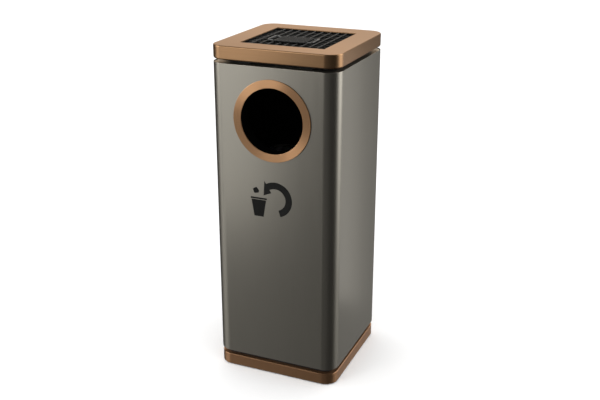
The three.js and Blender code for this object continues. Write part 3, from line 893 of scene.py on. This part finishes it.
def rubber_block(node, body, bevel):
    """A plain block of rubber with rounded edges."""
    low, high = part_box(node)
    work = bmesh.new()
    add_box(work, low, high, bevel)
    return finished(node + "_fine", mesh_from(work, node), RUBBER, body, [node])


def small_pieces():
    """Feet, fasteners, bumpers and pads: most come in fours."""
    for i in range(1, 5):
        foot_skin(f"foot_{i}")
        screw_head(f"foot_screw_{i}", "casing", (0, 0, -1), head_depth=1.5 * MM)
        screw_head(f"base_bolt_{i}", "casing", (0, 0, 1), head_depth=3 * MM)
        screw_head(f"ring_screw_{i}", "casing", (0, 1, 0), head_depth=2.2 * MM)
        rivet_skin(f"ear_rivet_{i}")
        rubber_block(f"lid_bumper_{i}", "lid", bevel=0.6 * MM)
    for i, out in enumerate(((-1, 0, 0), (0, -1, 0), (1, 0, 0), (0, 1, 0)), start=1):
        screw_head(f"frame_screw_{i}", "lid", out, head_depth=2 * MM)
    for side in ("left", "right"):
        rubber_block(f"liner_pad_{side}", "casing", bevel=1 * MM)


# ------------------------------------------------------------------ printed mark


def add_plate(work, outline):
    """A thin layer of ink on the front, from an (x, z) outline."""
    rings = [[(x, y, z) for x, z in outline] for y in (FRONT_Y - INK_THICKNESS, FRONT_Y)]
    add_loft(work, rings, closed=False)


def mark_bin(work):
    """The bin of the mark: a tapered body under a thin brim."""
    left, low = -43.5 * MM, 335 * MM
    width, taper, tall = 30 * MM, 5.5 * MM, 33 * MM
    right, top = left + width, low + tall
    add_plate(work, [(left + taper, low), (right - taper, low), (right, top), (left, top)])
    overhang, gap, thickness = 1.5 * MM, 1.2 * MM, 3.2 * MM
    brim_left, brim_right = left - overhang, right + overhang
    brim_low, brim_top = top + gap, top + gap + thickness
    add_plate(work, [(brim_left, brim_low), (brim_right, brim_low),
                     (brim_right, brim_top), (brim_left, brim_top)])


def mark_paper(work):
    """A crumpled paper ball: a nine-sided patch of two radii taken in turn."""
    x, z = -34 * MM, 386 * MM
    outer, inner, sides = 6.6 * MM, 5.4 * MM, 9
    outline = []
    for i in range(sides):
        a = 2 * math.pi * i / sides
        r = inner if i % 2 else outer
        outline.append((x + r * math.cos(a), z + r * math.sin(a)))
    add_plate(work, outline)


def mark_arrow(work):
    """A bold arrow that curls over from the right and points down into the bin."""
    x, z = 5 * MM, 372 * MM
    inner, outer, barb = 21 * MM, 34 * MM, 6.5 * MM
    tip_r = 24 * MM
    start, shoulder, tip = -72, 122, 166
    outline = arc(x, z, outer, start, shoulder, 38)
    for radius, angle in ((outer + barb, shoulder), (tip_r, tip), (inner - barb, shoulder)):
        a = math.radians(angle)
        outline.append((x + radius * math.cos(a), z + radius * math.sin(a)))
    outline += arc(x, z, inner, shoulder, start, 38)
    add_plate(work, outline)


def printed_mark():
    """A generic litter mark: a bin, a crumpled paper ball and a curled arrow."""
    work = bmesh.new()
    mark_bin(work)
    mark_arrow(work)
    mark_paper(work)
    return finished("printed_mark", mesh_from(work, "printed_mark"), INK, "casing",
                    weighted=False)


# ------------------------------------------------------------------ frame nodes that stay


def refinish(node, material):
    """A CAD node whose shape is right keeps its mesh and gets a better material."""
    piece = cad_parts[node]
    for slot in piece.material_slots:
        slot.material = material


def kept_nodes():
    """The flat sheets, boards and ears that need no finer shape."""
    refinish("base_board", BOARD)
    refinish("ring_clamp", BLACK_STEEL)
    refinish("spacer_board", BLACK_PLASTIC)
    refinish("handle_ear_left", ZINC)
    refinish("handle_ear_right", ZINC)
    refinish("casing_floor", GALVANISED)


# ------------------------------------------------------------------ stage


def stage_floor():
    """A wide pale floor that the metal doesn't mirror."""
    half = 30.0
    mesh = bpy.data.meshes.new("floor")
    mesh.from_pydata([(-half, -half, 0), (half, -half, 0), (half, half, 0), (-half, half, 0)], [],
                     [(0, 1, 2, 3)])
    floor = loose("floor", mesh)
    n = Nodes("floor_paper")
    n.set("Base Color", (0.9, 0.9, 0.9, 1.0))
    n.set("Roughness", 0.9)
    n.set("Specular IOR Level", 0.0)
    mesh.materials.append(n.material)
    floor.visible_glossy = False


def direction(azimuth, elevation=0.0):
    """The unit vector that points there from the origin; azimuth 0 is the front, 90 the right."""
    a, e = math.radians(azimuth), math.radians(elevation)
    return Vector((math.sin(a) * math.cos(e), -math.cos(a) * math.cos(e), math.sin(e)))


def soft_box(name, azimuth, distance, height, width, tallness, aimed_at, power):
    """A rectangular area light turned to the bin's axis and hidden from the camera."""
    lamp = bpy.data.lights.new(name, "AREA")
    lamp.shape = "RECTANGLE"
    lamp.size = width
    lamp.size_y = tallness
    lamp.energy = power
    made = loose(name, lamp)
    made.location = direction(azimuth) * distance + Vector((0, 0, height))
    toward = Vector((0, 0, aimed_at)) - made.location
    made.rotation_euler = toward.to_track_quat("-Z", "Y").to_euler()
    made.visible_camera = False


def bright_area(tree, ray, azimuth, elevation, radius, colour):
    """The light of one soft round area of the surround in the direction of ray."""
    nearness = tree.nodes.new("ShaderNodeVectorMath")
    nearness.operation = "DOT_PRODUCT"
    nearness.inputs[1].default_value = direction(azimuth, elevation)
    tree.links.new(ray, nearness.inputs[0])
    glow = tree.nodes.new("ShaderNodeMapRange")
    glow.interpolation_type = "SMOOTHSTEP"
    glow.inputs["From Min"].default_value = math.cos(math.radians(radius))
    glow.inputs["From Max"].default_value = 1.0
    tree.links.new(nearness.outputs["Value"], glow.inputs["Value"])
    tinted = tree.nodes.new("ShaderNodeVectorMath")
    tinted.operation = "SCALE"
    tinted.inputs[0].default_value = colour
    tree.links.new(glow.outputs["Result"], tinted.inputs["Scale"])
    return tinted.outputs["Vector"]


def reflected_light(tree):
    """The dim surround and all its bright areas added up."""
    ray = tree.nodes.new("ShaderNodeTexCoord").outputs["Generated"]
    total = None
    for area in REFLECTED_AREAS:
        both = tree.nodes.new("ShaderNodeVectorMath")
        both.operation = "ADD"
        if total:
            tree.links.new(total, both.inputs[0])
        else:
            both.inputs[0].default_value = (REFLECTED_SURROUND,) * 3
        tree.links.new(bright_area(tree, ray, *area), both.inputs[1])
        total = both.outputs["Vector"]
    return total


def studio():
    """A white surround for eye and matt surfaces, a modelled one for reflections, soft boxes."""
    world = bpy.data.worlds.new("studio")
    bpy.context.scene.world = world
    world.use_nodes = True
    tree = world.node_tree
    reflected = tree.nodes["Background"]
    seen = tree.nodes.new("ShaderNodeBackground")
    path = tree.nodes.new("ShaderNodeLightPath")
    either = tree.nodes.new("ShaderNodeMixShader")
    tree.links.new(reflected_light(tree), reflected.inputs["Color"])
    seen.inputs["Color"].default_value = (1.0, 1.0, 1.0, 1.0)
    seen.inputs["Strength"].default_value = SEEN_SURROUND
    tree.links.new(path.outputs["Is Glossy Ray"], either.inputs["Fac"])
    tree.links.new(seen.outputs["Background"], either.inputs[1])
    tree.links.new(reflected.outputs["Background"], either.inputs[2])
    tree.links.new(either.outputs["Shader"], tree.nodes["World Output"].inputs["Surface"])
    for box in SOFT_BOXES:
        soft_box(*box)


def camera():
    """The camera, level from side to side and without shift."""
    data = bpy.data.cameras.new("camera")
    data.lens = LENS_MM
    made = loose("camera", data)
    made.location = direction(CAMERA_AZIMUTH) * CAMERA_DISTANCE + Vector((0, 0, CAMERA_HEIGHT))
    made.rotation_euler = (math.radians(90 - VIEW_ELEVATION), 0, math.radians(VIEW_AZIMUTH))
    bpy.context.scene.camera = made


# ------------------------------------------------------------------ the bin


def build():
    """Every piece, then the stage and its light."""
    camera()
    casing_skin()
    ring_skin()
    sleeve_skin()
    plinth_skin()
    top_frame_skin()
    cap_skin()
    collar_skin()
    pan_frame_skin()
    pan_skin()
    grid_wires()
    stub_rest_skin()
    grid_loop(-1, "loop_left_skin", "grid_loop_left")
    grid_loop(1, "loop_right_skin", "grid_loop_right")
    liner_skin()
    bail_skin()
    grip_skin()
    small_pieces()
    printed_mark()
    kept_nodes()
    stage_floor()
    studio()
    bpy.context.scene.view_settings.view_transform = "Standard"


build()
